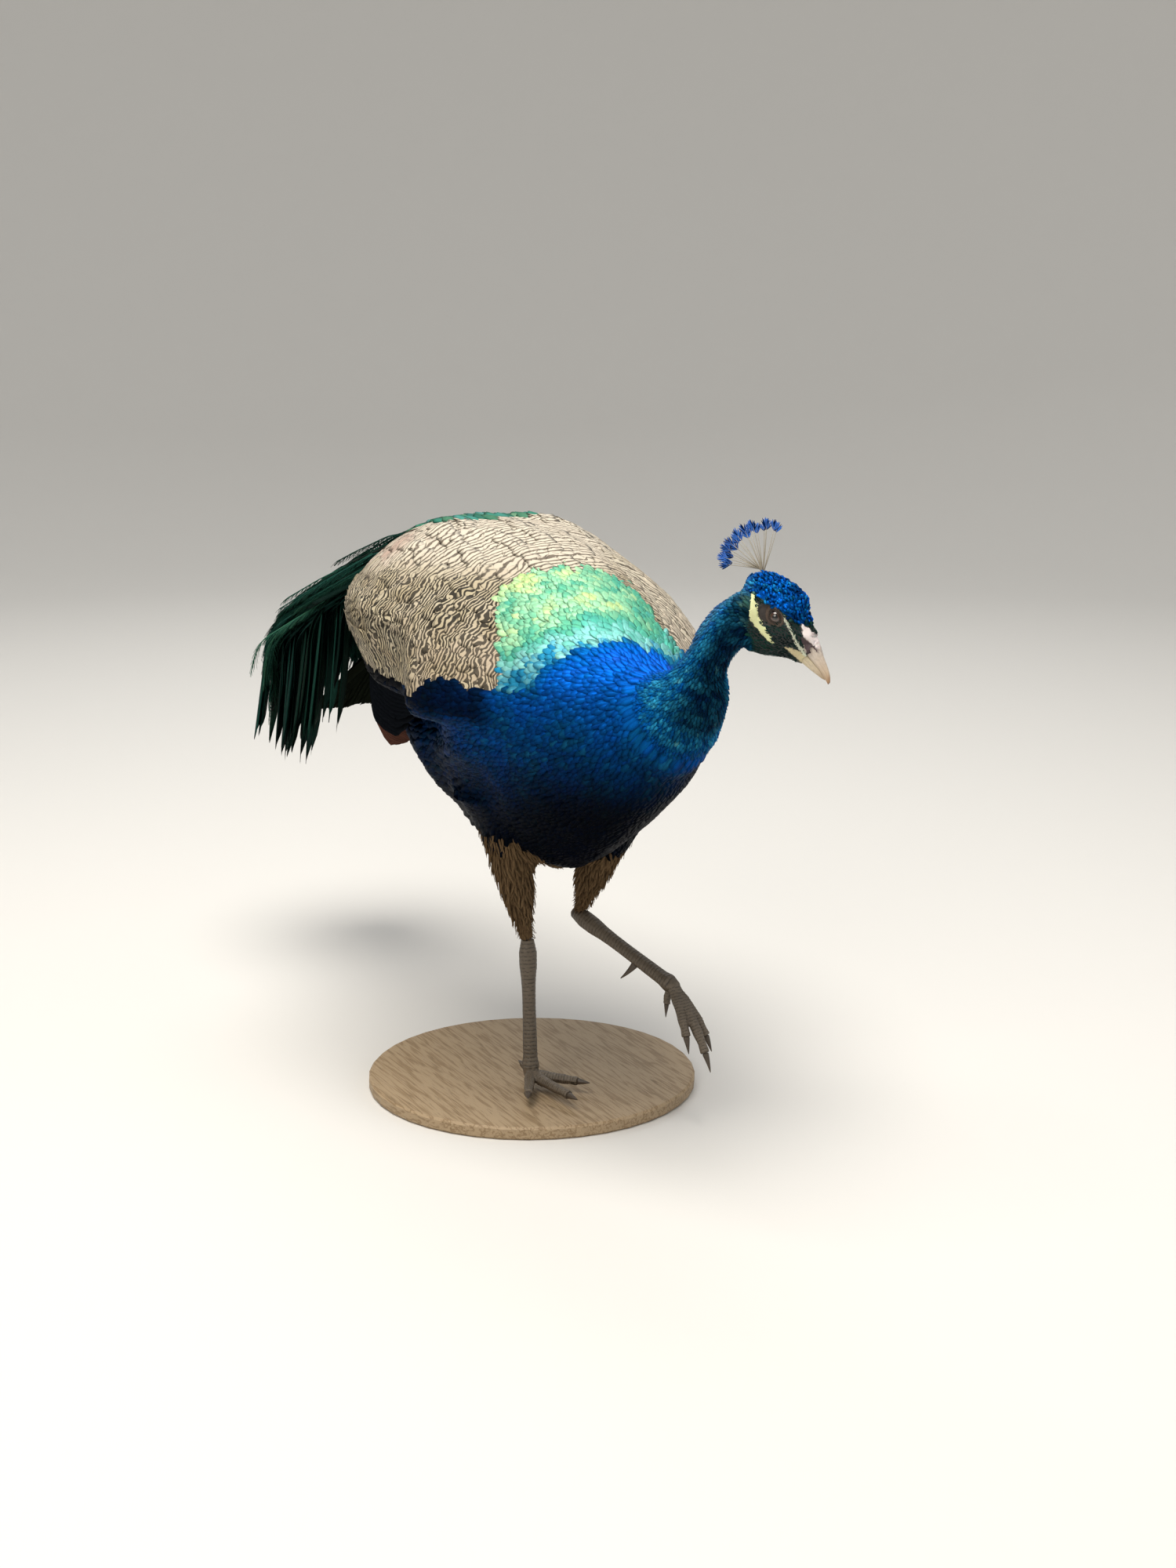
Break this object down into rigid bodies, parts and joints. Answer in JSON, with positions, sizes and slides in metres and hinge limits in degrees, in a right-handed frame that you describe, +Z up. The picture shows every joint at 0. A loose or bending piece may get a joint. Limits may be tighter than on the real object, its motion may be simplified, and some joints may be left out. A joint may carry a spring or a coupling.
{
  "type": "peacock",
  "caption": "Life-size peafowl cock in mid-stride, neck low and crested head turned, with a short moulted train, on a plain round display base.",
  "frame": {"origin": "centre of the display base's underside, on the floor", "axes": "the bird faces -Y, its left side is towards +X, and +Z is up"},
  "size_m": [0.3322, 0.9351, 0.5505],
  "materials": {
    "blue_plumage": "iridescent blue feathers",
    "dark_plumage": "blackish feathers with a faint blue sheen",
    "green_plumage": "dark green feathers with a metallic sheen",
    "barred_plumage": "buff feathers with fine dark brown bars",
    "chestnut_plumage": "chestnut quills",
    "tail_plumage": "dull dark brown quills",
    "buff_plumage": "soft buff-brown feathers",
    "leg_scale": "dry grey-brown scutes",
    "claw_horn": "worn dark horn",
    "bill_horn": "pale satin horn",
    "eye": "wet dark brown",
    "base_board": "plain painted board"
  },
  "bodies": {
    "root": {"breast": "blue_plumage", "belly": "dark_plumage", "rump": "green_plumage", "neck_lower": "blue_plumage", "neck_upper": "blue_plumage", "head": "blue_plumage", "bill_upper": "bill_horn", "bill_lower": "bill_horn", "eye_left": "eye", "eye_right": "eye", "crest": "blue_plumage", "wing_left_coverts": "barred_plumage", "wing_right_coverts": "barred_plumage", "wing_left_secondaries": "dark_plumage", "wing_right_secondaries": "dark_plumage", "wing_left_primaries": "chestnut_plumage", "wing_right_primaries": "chestnut_plumage", "train": "green_plumage", "tail": "tail_plumage", "thigh_left": "buff_plumage", "thigh_right": "buff_plumage", "shank_left": "leg_scale", "shank_right": "leg_scale", "foot_left": "leg_scale", "foot_right": "leg_scale", "spur_left": "claw_horn", "spur_right": "claw_horn", "claw_left_inner": "claw_horn", "claw_left_middle": "claw_horn", "claw_left_outer": "claw_horn", "claw_left_hind": "claw_horn", "claw_right_inner": "claw_horn", "claw_right_middle": "claw_horn", "claw_right_outer": "claw_horn", "claw_right_hind": "claw_horn", "stand_base": "base_board"}
  },
  "joints": []
}
